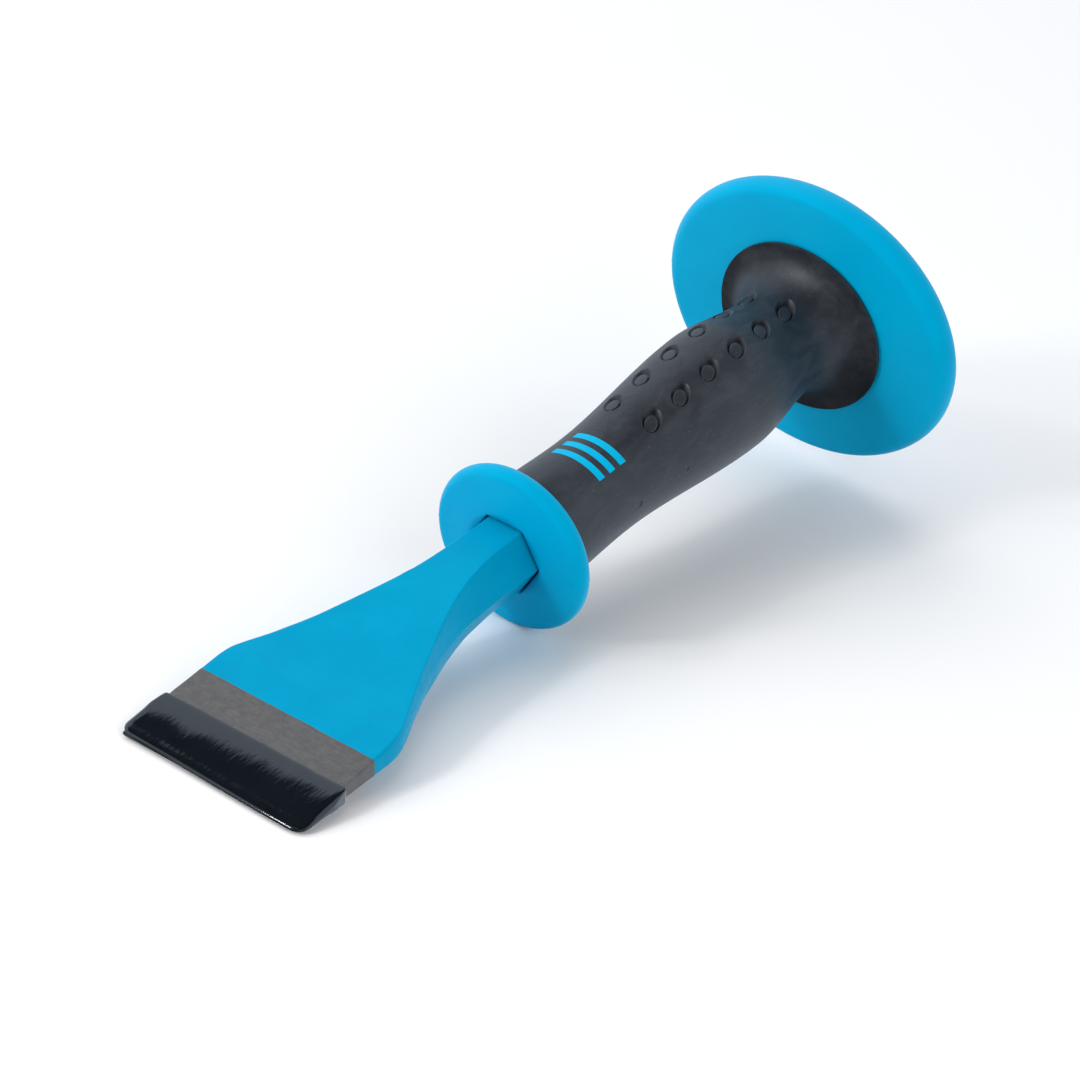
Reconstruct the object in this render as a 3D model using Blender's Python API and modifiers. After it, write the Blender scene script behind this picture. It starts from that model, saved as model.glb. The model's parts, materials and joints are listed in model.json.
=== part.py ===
# Flared cold chisel: a hexagonal forged bar drawn out to a wide flat blade, a two-shot
# guarded handle (hard core with collar and hand guard, soft grip) and a dipped edge.
#
# Every piece is modelled on the tool's own axis: X runs from the guard to the cutting
# edge, Y across the blade, Z square to the blade, and station 0 is the middle of the
# guard's rim. The empty "bench_rest" then lays the tool down the way it rests, on the
# rim of its guard and on its edge.
import math

import bmesh
import bpy
from mathutils import Matrix, Vector

MM = 0.001

# ---- driving dimensions, millimetres ----
HEX_FLATS = 19.0             # bar, across flats
HEAD_STATION = -14.0         # striking face
HEAD_CHAMFER = 2.4
DRAW_START = 149.0           # hexagon starts to thin out
SPREAD_START = 157.5         # sides start to spread
SPREAD_END = 213.0           # full blade width; the bevel starts here
EDGE_STATION = 252.2
SHOULDER_WIDTH = 56.8        # blade width where the spread ends
EDGE_WIDTH = 57.2            # blade width at the edge
ROOT_THICKNESS = 7.0         # blade thickness where the bevel starts
EDGE_THICKNESS = 1.0
SIDE_WALL = 1.9              # half height of the upright side wall near the edge
CORNER_MIN = 0.12            # half height of the wall while the bar is still hexagonal
FACET_MID = 0.75             # width of the corner facet along the spread
FACET_END = 0.35             # and where it dies out on the bevel
FORGED_ROUND = 0.6           # rounding of the forging's edges

BORE_FLATS = 19.7
SLEEVE_R = 12.9              # sleeve inside the grip
COLLAR_R = 24.2
COLLAR_STATION = 132.6       # middle of the collar's rim
COLLAR_RIM_R = 2.9
COLLAR_FACE = 136.8          # raised face round the bore
COLLAR_LAND_R = 12.3
GUARD_HALF_WIDTH = 47.4      # across the blade
GUARD_HALF_HEIGHT = 41.7     # square to the blade
GUARD_RIM_R = 4.4
GUARD_FACE_RISE = 1.0        # the guard's face is a shallow cone
GUARD_WALL = 3.6
ROUND_WITHIN = 18.0          # the guard is round inside this radius, oval outside
HUB_R = 17.5
HUB_STATION = -5.5

GRIP_BORE_R = 13.2
GRIP_FLATTEN = 0.965         # the grip is a little flatter than it is wide
FLARE_R = 26.5               # trumpet flare that lies on the guard
FLARE_STATION = 5.6
FLARE_LIP = 0.7
NECK_R = 15.5
NECK_STATION = 18.5
SWELL_R = 18.75
SWELL_STATION = 45.0
WAIST_R = 15.05
WAIST_STATION = 99.0
GRIP_END_R = 16.0
GRIP_END_STATION = 129.2

PIP_FIRST = 20.1
PIP_PITCH = 12.5
PIPS_IN_ROW = 6
PIP_ACROSS = 6.5             # each row's distance from the grip's crest line
PIP_DRIFT = 1.0              # the first two pips of a row step round towards the crest
PIP_SLANT = 30.0             # the ovals' long way, degrees from the axis
PIP_LONG = 2.85              # half lengths of the pip's oval
PIP_SHORT = 1.85
SCOOP_LONG = 4.5             # half lengths of the bowl's oval
SCOOP_SHORT = 2.75
SCOOP_DEPTH = 1.5
SCOOP_BALL = 3.0             # half height of the ellipsoid that cuts the bowl
SCOOP_SHIFT = 1.25           # a bowl's middle sits this far along the slant from its pip

DIP_STATION = 235.3          # back edge of the dipped coat
DIP_END = 253.8
DIP_THICKNESS = 0.6          # on the blade's faces
DIP_SIDE = 1.7               # on the blade's sides, where it runs thicker
DIP_SIDE_START = 0.7         # and on them at its back edge
DIP_GAP = 0.1
DIP_CORNER = 4.0             # rounding of its front corners in plan

FIT_GAP = 0.3                # clearance between pieces that touch
TURN_STEPS = 56              # facets round a turned piece


def smooth_step(start, end, x):
    t = min(1.0, max(0.0, (x - start) / (end - start)))
    return t * t * (3.0 - 2.0 * t)


def blend(a, b, t):
    return a + (b - a) * t


def soft_min(a, b, reach):
    overlap = max(reach - abs(a - b), 0.0) / reach
    return min(a, b) - overlap * overlap * reach * 0.25


def arc(station, radius, size, start, end, steps):
    """Points (station, radius) of an arc; 0 degrees points outwards and 90 forwards."""
    angles = [math.radians(blend(start, end, i / steps)) for i in range(steps + 1)]
    return [(station + size * math.sin(a), radius + size * math.cos(a)) for a in angles]


# ---- scene helpers ----
def new_collection(name):
    collection = bpy.data.collections.new(name)
    bpy.context.scene.collection.children.link(collection)
    return collection


def new_object(name, mesh, collection):
    ob = bpy.data.objects.new(name, mesh)
    collection.objects.link(ob)
    return ob


def new_material(name, colour, roughness, metallic=0.0):
    mat = bpy.data.materials.new(name)
    mat.use_nodes = True
    shader = mat.node_tree.nodes["Principled BSDF"]
    shader.inputs["Base Color"].default_value = (*colour, 1.0)
    shader.inputs["Roughness"].default_value = roughness
    shader.inputs["Metallic"].default_value = metallic
    return mat


def add_modifier(ob, kind, **settings):
    modifier = ob.modifiers.new(kind.title(), kind)
    for key, value in settings.items():
        setattr(modifier, key, value)
    return modifier


def freeze(ob):
    """Replace an object's mesh by its evaluated one and drop its modifiers."""
    graph = bpy.context.evaluated_depsgraph_get()
    mesh = bpy.data.meshes.new_from_object(ob.evaluated_get(graph))
    ob.modifiers.clear()
    ob.data = mesh


def face_outwards(mesh):
    bm = bmesh.new()
    bm.from_mesh(mesh)
    bmesh.ops.remove_doubles(bm, verts=bm.verts, dist=1e-7)
    bmesh.ops.recalc_face_normals(bm, faces=bm.faces)
    bm.to_mesh(mesh)
    bm.free()


def shade(ob, angle=30.0):
    ob.data.shade_smooth()
    ob.data.set_sharp_from_angle(angle=math.radians(angle))


def turned(name, profile, collection, closed=False):
    """Turn (station, radius) points about X; a closed profile makes a tube."""
    points = [(station * MM, 0.0, radius * MM) for station, radius in profile]
    edges = [(i, i + 1) for i in range(len(points) - 1)]
    if closed:
        edges.append((len(points) - 1, 0))
    mesh = bpy.data.meshes.new(name)
    mesh.from_pydata(points, edges, [])
    ob = new_object(name, mesh, collection)
    add_modifier(ob, "SCREW", axis="X", angle=2 * math.pi, screw_offset=0.0,
                 steps=TURN_STEPS, render_steps=TURN_STEPS,
                 use_merge_vertices=True, merge_threshold=1e-6)
    freeze(ob)
    face_outwards(ob.data)
    return ob


def lofted(name, sections, collection):
    """Skin between cross-sections with the same number of points, closed at both ends."""
    bm = bmesh.new()
    rows = [[bm.verts.new(Vector(point) * MM) for point in section] for section in sections]
    count = len(rows[0])
    for back, front in zip(rows, rows[1:]):
        for i in range(count):
            j = (i + 1) % count
            bm.faces.new((back[i], back[j], front[j], front[i]))
    bm.faces.new(list(reversed(rows[0])))
    bm.faces.new(rows[-1])
    mesh = bpy.data.meshes.new(name)
    bm.to_mesh(mesh)
    bm.free()
    face_outwards(mesh)
    return new_object(name, mesh, collection)


def make_cutter(ob):
    ob.hide_render = True
    ob.display_type = "WIRE"


# ---- blade law: one octagon, from the hexagonal bar to the flat blade ----
HEX_CORNER_R = HEX_FLATS / math.sqrt(3.0)


def half_thickness(station):
    if station <= SPREAD_END:
        drawn = smooth_step(DRAW_START, SPREAD_END, station)
        return blend(HEX_FLATS, ROOT_THICKNESS, drawn) / 2
    along = (station - SPREAD_END) / (EDGE_STATION - SPREAD_END)
    return blend(ROOT_THICKNESS, EDGE_THICKNESS, along) / 2


def half_width(station):
    t = max(0.0, (station - SPREAD_START) / (SPREAD_END - SPREAD_START))
    spread = SHOULDER_WIDTH / 2 - HEX_CORNER_R
    growth = t * t * (1 + 0.6 * t * (1 - t)) if t < 1 else 1 + 1.4 * (t - 1)
    along = max(0.0, (station - SPREAD_END) / (EDGE_STATION - SPREAD_END))
    side = blend(SHOULDER_WIDTH, EDGE_WIDTH, along) / 2
    return soft_min(HEX_CORNER_R + spread * growth, side, 2.2)


def facet_width(station):
    late = blend(FACET_MID, FACET_END, smooth_step(SPREAD_END - 18, SPREAD_END + 12, station))
    return blend(HEX_CORNER_R / 2, late, smooth_step(DRAW_START - 4, DRAW_START + 38, station))


def wall_height(station):
    grown = smooth_step(DRAW_START + 20, SPREAD_END + 12, station)
    return min(blend(CORNER_MIN, SIDE_WALL, grown), half_thickness(station) - CORNER_MIN)


def octagon(station, flat, thick, wide, wall):
    """Corners of one cross-section, anticlockwise seen from the guard."""
    quarter = [(flat, thick), (wide, wall)]
    right = quarter + [(y, -z) for y, z in reversed(quarter)]
    left = [(-y, z) for y, z in reversed(right)]
    return [(station, y, z) for y, z in right + left]


def blade_section(station, grow=0.0, facet=0.0):
    thick = half_thickness(station) + grow
    wide = half_width(station) + grow
    flat = wide - max(facet_width(station), facet)
    wall = min(wall_height(station) + grow, thick - 0.1)
    return octagon(station, flat, thick, wide, wall)


def bar_section(station, flats):
    corner = flats / math.sqrt(3.0)
    return octagon(station, corner / 2, flats / 2, corner, CORNER_MIN)


# ---- sub-parts ----
def forged_chisel(collection):
    spread = [DRAW_START + 4.0 * i for i in range(15)]
    shoulder = [SPREAD_END + step for step in (-5.0, -3.0, -1.5, 0.0, 1.5, 4.0, 12.0)]
    stations = sorted(s for s in spread if s < shoulder[0]) + shoulder + [EDGE_STATION]
    sections = [bar_section(HEAD_STATION, HEX_FLATS - 2 * HEAD_CHAMFER),
                bar_section(HEAD_STATION + 0.75 * HEAD_CHAMFER, HEX_FLATS),
                bar_section(DRAW_START - 4.0, HEX_FLATS)]
    sections += [blade_section(station) for station in stations]
    ob = lofted("forged_chisel", sections, collection)
    add_modifier(ob, "BEVEL", width=FORGED_ROUND * MM, segments=2, limit_method="ANGLE",
                 angle_limit=math.radians(24))
    ob.data.materials.append(new_material("blue_paint", (0.0, 0.386, 0.665), 0.38))
    return ob


def core_profile():
    face = GUARD_RIM_R + GUARD_FACE_RISE
    rim = GUARD_HALF_WIDTH - GUARD_RIM_R
    collar_rim = COLLAR_R - COLLAR_RIM_R
    collar_back = COLLAR_STATION - COLLAR_RIM_R
    dish = face - GUARD_WALL
    front = [(COLLAR_FACE, 0.0), (COLLAR_FACE, COLLAR_LAND_R),
             (COLLAR_FACE - 0.35, COLLAR_LAND_R + 2.2),
             (COLLAR_STATION + COLLAR_RIM_R, collar_rim - 0.6)]
    collar = arc(COLLAR_STATION, collar_rim, COLLAR_RIM_R, 80, -80, 9)
    collar += [(collar_back - 0.1, GRIP_END_R + 1.5), (collar_back - 0.2, SLEEVE_R)]
    guard = [(face + 1.5, SLEEVE_R), (face - FIT_GAP, SLEEVE_R + 1.8),
             (face - FIT_GAP, FLARE_R - 1.0), (face - 0.4, FLARE_R + 0.6)]
    guard += arc(0.0, rim, GUARD_RIM_R, 88, -78, 11)
    back = [(-GUARD_RIM_R + 0.9, rim - 2.4), (dish - 1.6, rim - 3.6), (dish - 0.9, rim - 6.0),
            (dish - 0.2, HUB_R + 3.0), (dish - 1.0, HUB_R + 1.0), (HUB_STATION + 1.0, HUB_R),
            (HUB_STATION + 0.3, HUB_R - 0.3), (HUB_STATION, HUB_R - 1.0), (HUB_STATION, 0.0)]
    return front + collar + guard + back


def make_guard_oval(mesh):
    ratio = GUARD_HALF_HEIGHT / GUARD_HALF_WIDTH
    for vertex in mesh.vertices:
        radius = math.hypot(vertex.co.y, vertex.co.z) / MM
        if vertex.co.x < NECK_STATION * MM and radius > ROUND_WITHIN:
            outwards = (radius - ROUND_WITHIN) / (GUARD_HALF_WIDTH - ROUND_WITHIN)
            vertex.co.z *= blend(1.0, ratio, outwards)


def handle_core(collection, cutters):
    ob = turned("handle_core", core_profile(), collection)
    make_guard_oval(ob.data)
    shade(ob)
    length = COLLAR_FACE - HUB_STATION
    bpy.ops.mesh.primitive_cylinder_add(
        vertices=6, radius=BORE_FLATS / math.sqrt(3.0) * MM, depth=(length + 20.0) * MM,
        location=((COLLAR_FACE + HUB_STATION) / 2 * MM, 0.0, 0.0),
        rotation=(0.0, math.pi / 2, 0.0))
    bore = bpy.context.active_object
    bore.name = "hex_bore"
    for owner in list(bore.users_collection):
        owner.objects.unlink(bore)
    cutters.objects.link(bore)
    make_cutter(bore)
    add_modifier(ob, "BOOLEAN", operation="DIFFERENCE", solver="EXACT", object=bore)
    ob.data.materials.append(new_material("blue_plastic", (0.0, 0.352, 0.604), 0.32))
    return ob, bore


def grip_radius(station):
    """Half width of the grip: cove on the guard, neck, palm swell, waist, collar end."""
    if station < NECK_STATION:
        t = (NECK_STATION - station) / (NECK_STATION - FLARE_STATION - FLARE_LIP)
        return NECK_R + (FLARE_R - NECK_R) * (1 - math.sqrt(max(0.0, 1 - min(1.0, t) ** 2)))
    if station < SWELL_STATION:
        return blend(NECK_R, SWELL_R, smooth_step(NECK_STATION, SWELL_STATION, station))
    if station < WAIST_STATION:
        return blend(SWELL_R, WAIST_R, smooth_step(SWELL_STATION, WAIST_STATION, station))
    return blend(WAIST_R, GRIP_END_R, smooth_step(WAIST_STATION, GRIP_END_STATION, station))


def grip_profile():
    face = GUARD_RIM_R + GUARD_FACE_RISE
    outer = [(face, FLARE_R - 0.5), (FLARE_STATION, FLARE_R),
             (FLARE_STATION + FLARE_LIP * 0.7, FLARE_R - 0.1)]
    cove_depth = NECK_STATION - FLARE_STATION - FLARE_LIP
    for i in range(1, 8):
        station = NECK_STATION - cove_depth * math.cos(math.radians(90.0 * i / 8))
        outer.append((station, grip_radius(station)))
    steps = 26
    for i in range(steps):
        station = blend(NECK_STATION, GRIP_END_STATION - 0.6, i / steps)
        outer.append((station, grip_radius(station)))
    outer += [(GRIP_END_STATION - 0.6, GRIP_END_R), (GRIP_END_STATION, GRIP_END_R - 0.6)]
    inner = [(GRIP_END_STATION, GRIP_BORE_R), (face + 1.7, GRIP_BORE_R),
             (face, GRIP_BORE_R + 1.9)]
    return outer + inner


def flatten_grip(mesh):
    for vertex in mesh.vertices:
        radius = math.hypot(vertex.co.y, vertex.co.z) / MM
        if radius > GRIP_BORE_R + 0.5:
            vertex.co.z *= GRIP_FLATTEN


def pip_place(number, across):
    """Station and angle of a pip; the angle runs round from the blade's plane to the crest."""
    station = PIP_FIRST + PIP_PITCH * number
    radius = grip_radius(station)
    return station, math.acos(across / radius) + PIP_DRIFT * max(0, 2 - number) / radius


def oval(name, half_lengths, place, turn, collection, round_ends):
    """Ellipsoid, or an upright oval post, on the slanted axes of one bowl."""
    bm = bmesh.new()
    if round_ends:
        bmesh.ops.create_uvsphere(bm, u_segments=20, v_segments=14, radius=MM)
    else:
        bmesh.ops.create_cone(bm, cap_ends=True, segments=18, radius1=MM, radius2=MM, depth=2 * MM)
    grow = Matrix.Diagonal((*half_lengths, 1.0))
    bmesh.ops.transform(bm, matrix=Matrix.Translation(place * MM) @ turn @ grow, verts=bm.verts)
    mesh = bpy.data.meshes.new(name)
    bm.to_mesh(mesh)
    bm.free()
    return new_object(name, mesh, collection)


def scoop(name, station, angle, collection):
    """Cutter for one slanted oval bowl, with an oval pip left standing at its near end."""
    radius = grip_radius(station)
    spot = Vector((station, radius * math.cos(angle), GRIP_FLATTEN * radius * math.sin(angle)))
    outwards = Vector((0.0, math.cos(angle), math.sin(angle) / GRIP_FLATTEN)).normalized()
    slant = math.radians(PIP_SLANT)
    around = Vector((1, 0, 0)).cross(outwards)
    long_way = around * math.sin(slant) - Vector((math.cos(slant), 0, 0))
    turn = Matrix((long_way, outwards.cross(long_way), outwards)).transposed().to_4x4()
    cut = math.sqrt(1 - (1 - SCOOP_DEPTH / SCOOP_BALL) ** 2)
    centre = spot + long_way * SCOOP_SHIFT + outwards * (SCOOP_BALL - SCOOP_DEPTH)
    bowl = oval(f"bowl_{name}", (SCOOP_LONG / cut, SCOOP_SHORT / cut, SCOOP_BALL), centre, turn,
                collection, True)
    pip = oval(f"pip_{name}", (PIP_LONG, PIP_SHORT, 3 * SCOOP_BALL), spot, turn, collection, False)
    add_modifier(bowl, "BOOLEAN", operation="DIFFERENCE", solver="EXACT", object=pip)
    freeze(bowl)
    bpy.data.objects.remove(pip, do_unlink=True)
    make_cutter(bowl)
    return bowl


def grip_overmould(collection, cutters):
    ob = turned("grip_overmould", grip_profile(), collection, closed=True)
    flatten_grip(ob.data)
    shade(ob)
    bowls = []
    for i in range(PIPS_IN_ROW):
        for across in (-PIP_ACROSS, PIP_ACROSS):
            station, angle = pip_place(i, across)
            for half_turn in (0.0, math.pi):
                bowls.append(scoop(len(bowls), station, angle + half_turn, cutters))
    add_modifier(ob, "BOOLEAN", operation="DIFFERENCE", solver="EXACT",
                 operand_type="COLLECTION", collection=cutters)
    ob.data.materials.append(new_material("black_rubber", (0.045, 0.052, 0.065), 0.6))
    return ob, bowls


def dip_section(station):
    """Outline of the coat: even on the faces, swelling on the sides just past its back edge."""
    side = blend(DIP_SIDE_START, DIP_SIDE, smooth_step(DIP_STATION, DIP_STATION + 6.0, station))
    outline = blade_section(min(station, EDGE_STATION), DIP_GAP + DIP_THICKNESS, 0.8)
    return [(station, y + math.copysign(side - DIP_THICKNESS, y), z) for _, y, z in outline]


def edge_dip_coat(collection, cutters):
    """Thin cup over the edge, its front corners rounded in plan and its lip softened."""
    corner_start = DIP_END - DIP_CORNER
    sections = [dip_section(s) for s in (DIP_STATION, 237.0, 239.0, 241.3, corner_start - 3.0)]
    for angle in (0.0, 20.0, 40.0, 60.0, 75.0, 86.0):
        turn = math.radians(angle)
        station = DIP_END - DIP_CORNER * (1 - math.sin(turn))
        back = DIP_CORNER * (1 - math.cos(turn))
        lip = 1.0 - 0.55 * smooth_step(DIP_END - 1.4, DIP_END, station)
        sections.append([(s, math.copysign(abs(y) - back, y), z * lip)
                         for s, y, z in dip_section(station)])
    ob = lofted("edge_dip_coat", sections, collection)
    hollow_back = blade_section(DIP_STATION - 6.0, DIP_GAP)
    hollow_front = blade_section(EDGE_STATION, DIP_GAP)
    seat = [(EDGE_STATION + DIP_GAP, y, z) for _, y, z in hollow_front]
    hollow = lofted("blade_seat", [hollow_back, hollow_front, seat], cutters)
    make_cutter(hollow)
    add_modifier(ob, "BOOLEAN", operation="DIFFERENCE", solver="EXACT", object=hollow)
    ob.data.materials.append(new_material("dipped_plastic", (0.012, 0.015, 0.02), 0.12))
    return ob, hollow


# ---- resting pose ----
def evaluated_points(ob):
    graph = bpy.context.evaluated_depsgraph_get()
    mesh = ob.evaluated_get(graph).data
    return [vertex.co.copy() for vertex in mesh.vertices]


def lowest(points, tilt):
    return min(point.z * math.cos(tilt) - point.x * math.sin(tilt) for point in points)


def bench_tilt(guard_points, edge_points):
    """Nose-down angle at which the guard's rim and the dipped edge are level."""
    low, high = 0.0, math.radians(30.0)
    for _ in range(50):
        middle = (low + high) / 2
        if lowest(edge_points, middle) > lowest(guard_points, middle):
            low = middle
        else:
            high = middle
    return (low + high) / 2


def lay_down(parts, riders):
    points = {ob.name: evaluated_points(ob) for ob in parts}
    tilt = bench_tilt(points["handle_core"], points["edge_dip_coat"])
    turn = Matrix.Rotation(tilt, 3, "Y")
    laid = [turn @ point for cloud in points.values() for point in cloud]
    rest = bpy.data.objects.new("bench_rest", None)
    parts[0].users_collection[0].objects.link(rest)
    rest.rotation_euler = (0.0, tilt, 0.0)
    rest.location = (-(min(p.x for p in laid) + max(p.x for p in laid)) / 2, 0.0,
                     -min(p.z for p in laid))
    for ob in parts + riders:
        ob.parent = rest


def build():
    for ob in list(bpy.data.objects):
        bpy.data.objects.remove(ob, do_unlink=True)
    collection = new_collection("flared_cold_chisel")
    cutters = new_collection("cutters")
    bowl_cutters = new_collection("bowl_cutters")
    chisel = forged_chisel(collection)
    core, bore = handle_core(collection, cutters)
    grip, bowls = grip_overmould(collection, bowl_cutters)
    coat, hollow = edge_dip_coat(collection, cutters)
    lay_down([chisel, core, grip, coat], [bore, hollow] + bowls)


build()
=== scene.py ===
# Looks of the flared cold chisel. Four detailed pieces stand for the four CAD nodes: the
# painted and ground forging, the blue handle core, the rubber grip and the dipped coat
# over the edge; a fifth is the ink printed on the grip. Shapes are made on the tool's own
# axes, in millimetres: station along it from the guard's rim to the cutting edge, "across"
# the blade, and "up" square to the blade.
import json
import math

import bpy
import numpy as np
from mathutils import Matrix, Vector, noise


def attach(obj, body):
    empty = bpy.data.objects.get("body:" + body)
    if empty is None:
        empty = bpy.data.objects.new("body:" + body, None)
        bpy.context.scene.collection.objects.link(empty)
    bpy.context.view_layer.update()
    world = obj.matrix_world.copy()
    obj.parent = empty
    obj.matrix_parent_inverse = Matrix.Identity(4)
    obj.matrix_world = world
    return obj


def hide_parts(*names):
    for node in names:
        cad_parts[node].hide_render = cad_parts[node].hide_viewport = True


MM = 0.001

# ---- sizes that follow the CAD, millimetres ----
HEX_FLATS = 19.0
HEAD_STATION = -14.0
HEAD_CHAMFER = 2.4
DRAW_START = 149.0
SPREAD_START = 157.5
SPREAD_END = 213.0
EDGE_STATION = 252.2
SHOULDER_WIDTH = 56.8
EDGE_WIDTH = 57.2
ROOT_THICKNESS = 7.0
EDGE_THICKNESS = 1.0
SIDE_WALL = 1.9
CORNER_MIN = 0.12
FACET_MID = 0.75
FACET_END = 0.35

BORE_FLATS = 19.7
SLEEVE_R = 12.9
COLLAR_R = 24.2
COLLAR_STATION = 132.6
COLLAR_RIM_R = 2.9
COLLAR_FACE = 136.8
COLLAR_LAND_R = 12.3
GUARD_HALF_WIDTH = 47.4
GUARD_HALF_HEIGHT = 41.7
GUARD_RIM_R = 4.4
GUARD_FACE_RISE = 1.0
GUARD_WALL = 3.6
ROUND_WITHIN = 18.0
HUB_R = 17.5
HUB_STATION = -5.5
FIT_GAP = 0.3

GRIP_BORE_R = 13.2
GRIP_FLATTEN = 0.965
FLARE_R = 26.5
FLARE_STATION = 5.6
FLARE_LIP = 0.7
NECK_R = 15.5
NECK_STATION = 18.5
SWELL_R = 18.75
SWELL_STATION = 45.0
WAIST_R = 15.05
WAIST_STATION = 99.0
GRIP_END_R = 16.0
GRIP_END_STATION = 129.2

PIP_FIRST = 20.1
PIP_PITCH = 12.5
PIPS_IN_ROW = 6
PIP_ACROSS = 6.5
PIP_DRIFT = 1.0
PIP_SLANT = math.radians(30.0)
PIP_LONG, PIP_SHORT = 2.85, 1.85
SCOOP_LONG, SCOOP_SHORT = 4.5, 2.75
SCOOP_DEPTH = 1.5
SCOOP_BALL = 3.0
SCOOP_SHIFT = 1.25

DIP_STATION = 235.3
DIP_END = 253.8
DIP_THICKNESS = 0.6
DIP_SIDE = 1.7
DIP_SIDE_START = 0.7
DIP_GAP = 0.1
DIP_CORNER = 4.0

# ---- detail that only the looks have ----
PAINT_STATION = 223.3        # the paint ends here and ground steel starts
PAINT_COAT = 0.06
EDGE_ROUND = 0.55            # rounding of the forging's long edges
SEAM_HALF = 0.22             # mould parting line, half width and height
SEAM_RISE = 0.06
SEAM_FOOT = 2.2              # half width of its foot, as a share of the line's
RIM_INSET = 0.13             # keeps the guard's seam and waviness inside the CAD's size
BORE_SHOWN = 20.1            # the bore's mouth, a little worn open
BLOCK_HALF = 5.1             # square of surface that one scoop takes up
BLOCK_BACK = 1.1             # and where its middle lies from the pip
BLOCK_ROUND = 0.6            # along the grip, and round it
BLOCK_CELLS = 16
VENT = (98.0, 15.05, 0.6)    # a vent pit and a small mark in the rubber, on the tool's axes
MARK = (79.0, 16.1, 1.4)
BARS = (98.4, 102.9, 107.4)  # stations of the printed bars
BAR_HALF = 1.15
BAR_FROM, BAR_TO = 52.0, 116.0
INK = 0.05                   # the ink stands this far out of the rubber
INK_ROOT = -0.06             # and starts this far inside it
DIP_NOSE = 1.9               # rounding of the coat's front edge
DIP_SKEW = 1.7               # the coat's front is this far out of square
DIP_EDGE_FACET = 0.45        # the coat's corner facets and rounding, at its back edge
DIP_NOSE_FACET = 1.0         # and well forward of it
DIP_EDGE_ROUND = 0.5
DIP_NOSE_ROUND = 1.3
DIP_RIGHT_START = 1.0        # side thickness at the back edge on the +across side
# the lip at the coat's back edge: distance forward of it and thickness as a share
DIP_LIP = ((0.62, 0.06), (0.25, 0.08), (0.06, 0.16), (0.0, 0.26), (0.05, 0.36), (0.2, 0.46),
           (0.5, 0.56), (1.0, 0.635), (1.7, 0.69), (2.6, 0.74), (3.6, 0.79))

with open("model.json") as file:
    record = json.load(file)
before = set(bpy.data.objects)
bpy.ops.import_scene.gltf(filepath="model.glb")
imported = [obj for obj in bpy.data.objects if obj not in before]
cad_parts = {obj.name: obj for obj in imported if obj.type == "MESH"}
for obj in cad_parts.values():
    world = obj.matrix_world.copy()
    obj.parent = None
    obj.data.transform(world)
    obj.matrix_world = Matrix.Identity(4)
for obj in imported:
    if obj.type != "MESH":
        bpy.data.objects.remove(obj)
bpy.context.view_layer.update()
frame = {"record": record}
RECORD = frame["record"]

# ---- the tool's own axes, from the mount on its striking face ----
strike = next(m for m in RECORD["mounts"] if m["name"] == "striking_face")
ALONG = -Vector(strike["axis"]).normalized()
ACROSS = Vector((0.0, 1.0, 0.0))
UP = ALONG.cross(ACROSS)
ORIGIN = Vector(strike["pos_m"]) - ALONG * HEAD_STATION * MM
AXES = np.array([ALONG, ACROSS, UP])


def to_row(points):
    """Millimetres on the tool's axes to metres in the row frame."""
    return np.asarray(points, float) @ AXES * MM + np.array(ORIGIN)


def smooth_step(start, end, x):
    t = np.clip((np.asarray(x, float) - start) / (end - start), 0.0, 1.0)
    return t * t * (3.0 - 2.0 * t)


def mix(a, b, t):
    return a + (b - a) * t


def soft_min(a, b, reach):
    overlap = max(reach - abs(a - b), 0.0) / reach
    return min(a, b) - overlap * overlap * reach * 0.25


def noise_at(points, scale, seed=0.0):
    """Smooth noise from -1 to 1 at each point; scale is the size of a lump in millimetres."""
    shift = Vector((seed, 1.7 * seed, 0.3 * seed))
    return np.array([noise.noise(Vector(p) / scale + shift) for p in points.reshape(-1, 3)])


# ---- mesh helpers ----
def ring_faces(rows, count, first=0, skip=()):
    """Quads between neighbouring rows of a grid that closes round on itself."""
    faces = []
    for r in range(rows - 1):
        for c in range(count):
            if (r, c) in skip:
                continue
            d = (c + 1) % count
            low, high = first + r * count, first + (r + 1) * count
            faces.append((low + c, low + d, high + d, high + c))
    return faces


def grid_normals(grid):
    """Unit normals of a closed-round grid (rows, columns, 3), pointing away from the axis."""
    around = np.roll(grid, -1, 1) - np.roll(grid, 1, 1)
    along = np.gradient(grid, axis=0)
    normal = np.cross(around, along)
    normal /= np.maximum(np.linalg.norm(normal, axis=2, keepdims=True), 1e-9)
    return normal


def make_piece(name, points, faces, materials, which=None, sharp=35.0, recess_shade=None):
    mesh = bpy.data.meshes.new(name)
    mesh.from_pydata(to_row(points).tolist(), [], faces)
    for material in materials:
        mesh.materials.append(material)
    if which is not None:
        mesh.polygons.foreach_set("material_index", np.asarray(which, np.int32))
    if recess_shade is not None:
        mesh.attributes.new("recess_shade", "FLOAT", "POINT").data.foreach_set("value", recess_shade)
    mesh.validate()
    mesh.shade_smooth()
    mesh.set_sharp_from_angle(angle=math.radians(sharp))
    ob = bpy.data.objects.new(name, mesh)
    bpy.context.scene.collection.objects.link(ob)
    return ob


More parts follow.
